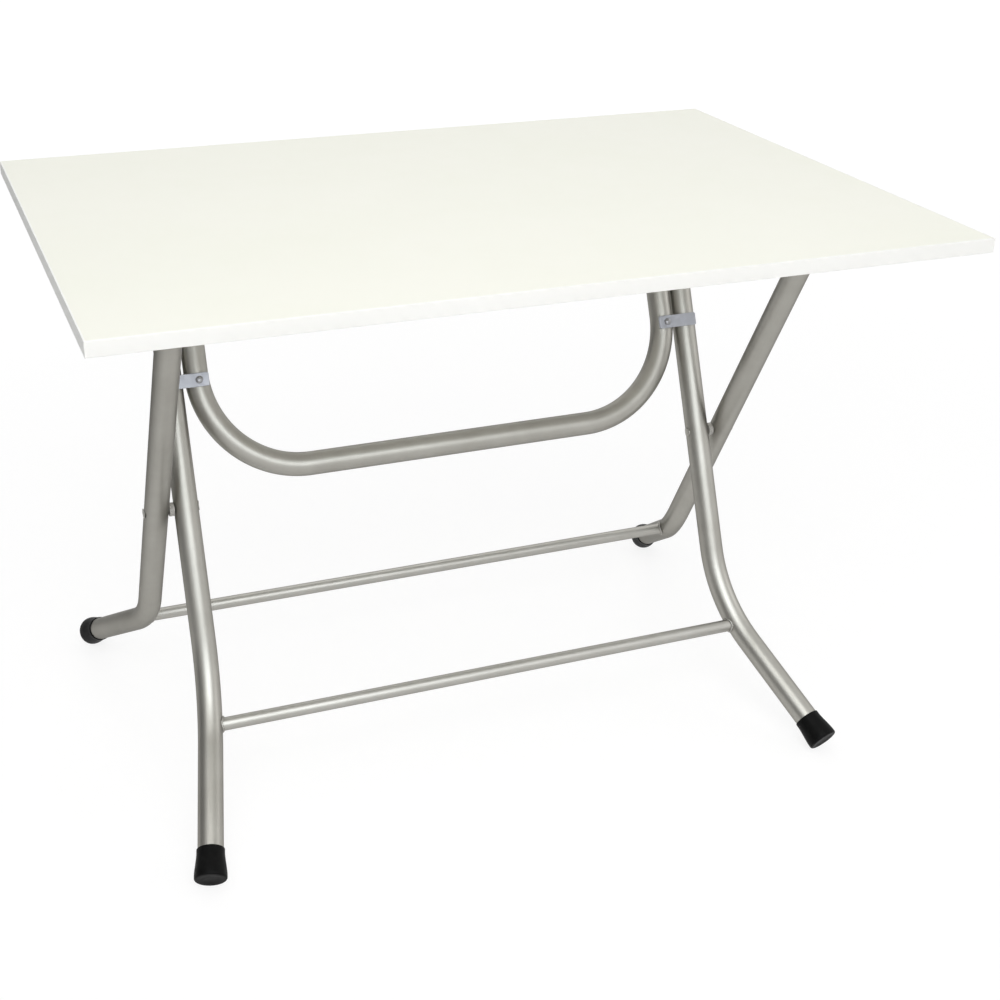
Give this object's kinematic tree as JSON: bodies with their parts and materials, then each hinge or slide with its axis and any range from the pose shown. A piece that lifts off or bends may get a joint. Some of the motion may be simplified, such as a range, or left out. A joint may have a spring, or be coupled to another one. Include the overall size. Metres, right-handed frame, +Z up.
{
  "type": "folding table",
  "caption": "Rectangular folding table: a thin laminated board on crossed tube legs with splayed rubber-capped feet, held open by a U-shaped lock brace.",
  "frame": {"origin": "on the floor under the middle of the tabletop, with the table open", "axes": "+X along the long edge, +Y from the near edge to the far edge, +Z up"},
  "size_m": [1.075, 0.71, 0.74],
  "materials": {
    "top_laminate": "satin warm-white melamine laminate",
    "underside_backer": "matt off-white backing foil",
    "tabletop_core": "raw particle board",
    "edging": "satin white edge band",
    "tube": "satin silver-grey steel tube",
    "plate": "bright zinc-plated steel sheet",
    "fastener": "zinc-plated steel",
    "spacer": "grey nylon",
    "rubber": "black moulded rubber"
  },
  "bodies": {
    "tabletop": {"underside_backer": "underside_backer", "tabletop_core": "tabletop_core", "top_laminate": "top_laminate", "edge_band_near": "edging", "edge_band_far": "edging", "edge_band_right": "edging", "edge_band_left": "edging", "outer_hinge_bracket_right": "plate", "outer_hinge_bracket_left": "plate", "brace_hinge_bracket_right": "plate", "brace_hinge_bracket_left": "plate", "outer_hinge_pin_right": "fastener", "outer_hinge_pin_left": "fastener", "outer_hinge_nut_right": "fastener", "outer_hinge_nut_left": "fastener", "brace_hinge_pin_right": "fastener", "brace_hinge_pin_left": "fastener", "brace_hinge_nut_right": "fastener", "brace_hinge_nut_left": "fastener"},
    "outer_frame": {"outer_leg_right": "tube", "outer_leg_left": "tube", "outer_leg_plug_right": "rubber", "outer_leg_plug_left": "rubber", "outer_foot_cap_right": "rubber", "outer_foot_cap_left": "rubber", "outer_crossbar": "tube"},
    "inner_frame": {"inner_leg_right": "tube", "inner_leg_left": "tube", "inner_leg_plug_right": "rubber", "inner_leg_plug_left": "rubber", "inner_foot_cap_right": "rubber", "inner_foot_cap_left": "rubber", "inner_crossbar": "tube", "crossing_rivet_right": "fastener", "crossing_rivet_left": "fastener", "crossing_spacer_right": "spacer", "crossing_spacer_left": "spacer", "brace_pivot_rivet_right": "fastener", "brace_pivot_rivet_left": "fastener", "brace_pivot_washer_right": "spacer", "brace_pivot_washer_left": "spacer"},
    "lock_brace": {"brace_tube": "tube", "brace_arm_plug_right": "rubber", "brace_arm_plug_left": "rubber", "stop_strap_right": "plate", "stop_strap_left": "plate", "strap_rivet_right": "fastener", "strap_rivet_left": "fastener"}
  },
  "joints": [
    {"name": "outer_fold", "type": "hinge", "parent": "tabletop", "child": "outer_frame", "pos_m": [0, -0.169, 0.696], "axis": [1, 0, 0], "range_deg": [0, 63.43]},
    {"name": "inner_fold", "type": "hinge", "parent": "outer_frame", "child": "inner_frame", "pos_m": [0, 0, 0.358], "axis": [1, 0, 0], "range_deg": [0, 50.36]},
    {"name": "brace_fold", "type": "hinge", "parent": "tabletop", "child": "lock_brace", "pos_m": [0, 0.149, 0.696], "axis": [1, 0, 0], "range_deg": [-66.22, 0]}
  ],
  "couplings": [
    {"joint": "inner_fold", "follows": "outer_fold", "ratio": 0.7938},
    {"joint": "brace_fold", "follows": "outer_fold", "ratio": -1.0438}
  ]
}
